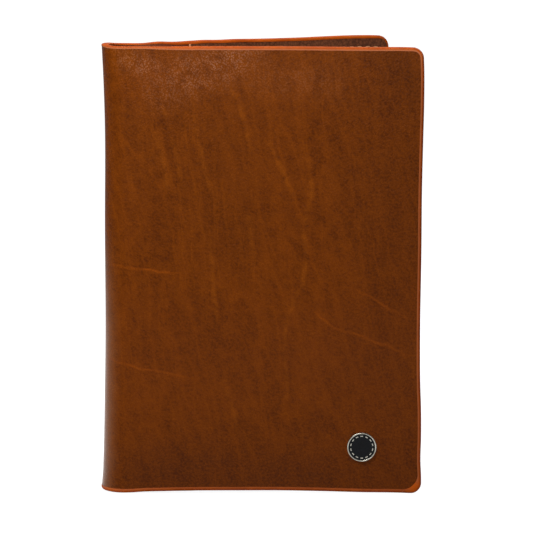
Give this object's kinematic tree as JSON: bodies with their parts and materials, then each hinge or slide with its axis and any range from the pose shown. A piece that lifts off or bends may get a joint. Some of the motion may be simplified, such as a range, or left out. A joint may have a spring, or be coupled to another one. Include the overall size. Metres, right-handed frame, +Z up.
{
  "type": "leather notebook cover",
  "caption": "Folding leather cover for an A5 notebook, with a soft rounded spine, painted edges, a sewn sleeve inside each side and a small enamelled badge.",
  "frame": {"origin": "middle of the standing cover's footprint, on the surface it stands on", "axes": "+Z up along the spine, +X from the spine to the fore-edge, the front faces -Y"},
  "size_m": [0.157, 0.0834, 0.22],
  "materials": {
    "outer_leather": "waxed pull-up leather",
    "interlining": "bonded fibre",
    "lining": "dark brown lining leather",
    "edge_paint": "orange edge paint",
    "sleeve_leather": "pebbled dark brown leather",
    "mouth_paint": "pale edge paint",
    "badge_metal": "polished",
    "enamel": "black enamel",
    "steel": "plain"
  },
  "bodies": {
    "front_cover": {"front_leather": "outer_leather", "front_interlining": "interlining", "front_lining": "lining", "front_edge_paint": "edge_paint", "front_sleeve": "sleeve_leather", "front_sleeve_hem": "sleeve_leather", "front_sleeve_edge": "mouth_paint", "badge_body": "badge_metal", "badge_enamel": "enamel", "badge_prongs": "steel", "badge_washer": "steel"},
    "spine": {"spine_leather": "outer_leather", "spine_interlining": "interlining", "spine_lining": "lining", "spine_edge_paint": "edge_paint"},
    "back_cover": {"back_leather": "outer_leather", "back_interlining": "interlining", "back_lining": "lining", "back_edge_paint": "edge_paint", "back_sleeve": "sleeve_leather", "back_sleeve_hem": "sleeve_leather", "back_sleeve_edge": "mouth_paint"}
  },
  "joints": [
    {"name": "front_fold", "type": "hinge", "parent": "spine", "child": "front_cover", "pos_m": [-0.07275, -0.03874, 0.11], "axis": [0, 0, -1], "range_deg": [-14, 76]},
    {"name": "back_fold", "type": "hinge", "parent": "spine", "child": "back_cover", "pos_m": [-0.07275, -0.01883, 0.11], "axis": [0, 0, 1], "range_deg": [-14, 76]}
  ]
}
